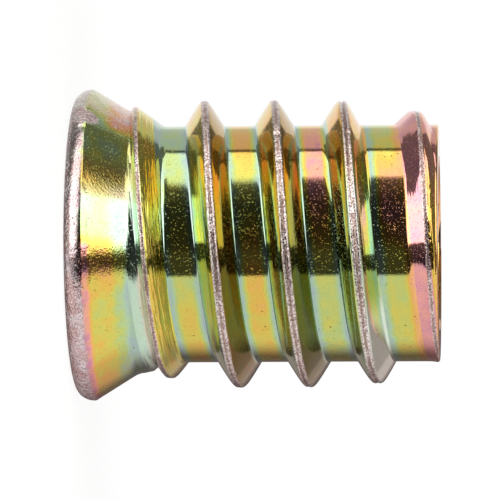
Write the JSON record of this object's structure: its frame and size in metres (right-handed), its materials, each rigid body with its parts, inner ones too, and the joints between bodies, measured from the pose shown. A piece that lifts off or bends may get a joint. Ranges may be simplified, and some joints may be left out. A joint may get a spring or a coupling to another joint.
{
  "type": "threaded insert",
  "caption": "Flanged threaded insert for wood: coned head with a hex key socket, coarse outer thread, round core and a through bore for a machine screw.",
  "frame": {"origin": "centre of the head's flat face, on the axis, which is the bottom of the part as it stands on its head", "axes": "+Z along the axis from the head's face to the pilot end; +X towards a corner of the hex socket"},
  "size_m": [0.0108, 0.0108, 0.0125],
  "materials": {
    "yellow_zinc_plating": "bright steel with iridescent yellow-passivated zinc plating, gold with pink and green tints"
  },
  "bodies": {
    "root": {"insert_body": "yellow_zinc_plating"}
  },
  "joints": []
}
